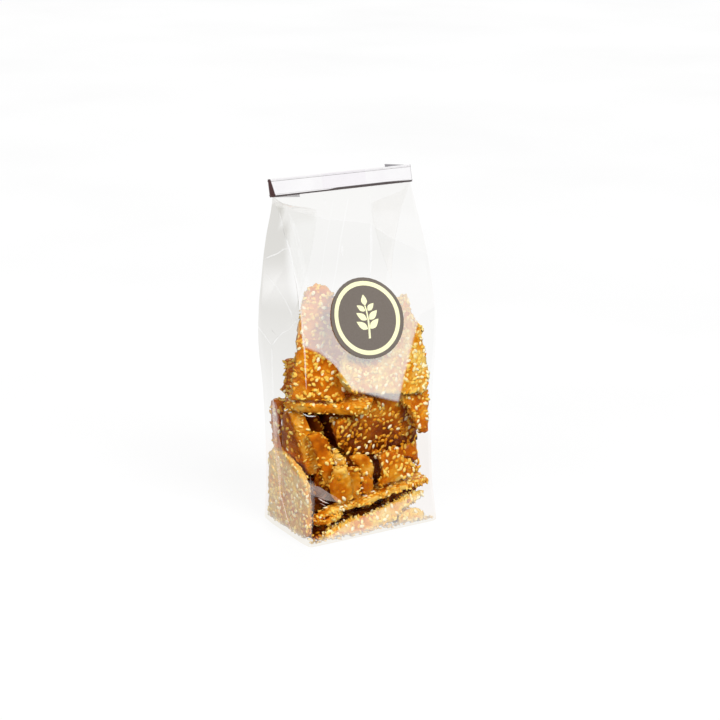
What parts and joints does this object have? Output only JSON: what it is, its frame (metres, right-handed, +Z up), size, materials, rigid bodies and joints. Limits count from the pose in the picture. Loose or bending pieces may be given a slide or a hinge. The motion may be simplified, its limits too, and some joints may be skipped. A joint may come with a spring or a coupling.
{
  "type": "bag of sesame brittle",
  "caption": "Clear block-bottom bag of broken sesame brittle, its top pressed flat in a foil tin tie, with a round label on the front panel.",
  "frame": {"origin": "middle of the bag's flat base, on the surface that it stands on", "axes": "+Z up along the bag's height, +Y from the labelled front panel to the back, +X across the front panel to its right seen from the front"},
  "size_m": [0.0996, 0.0723, 0.2195],
  "materials": {
    "clear_film": "clear glossy cellophane film around amber sesame brittle",
    "silver_foil": "bright silver foil over two wires",
    "label_paper": "dark grey-brown satin sticker"
  },
  "bodies": {
    "root": {"bag": "clear_film", "tin_tie": "silver_foil", "label": "label_paper"}
  },
  "joints": []
}
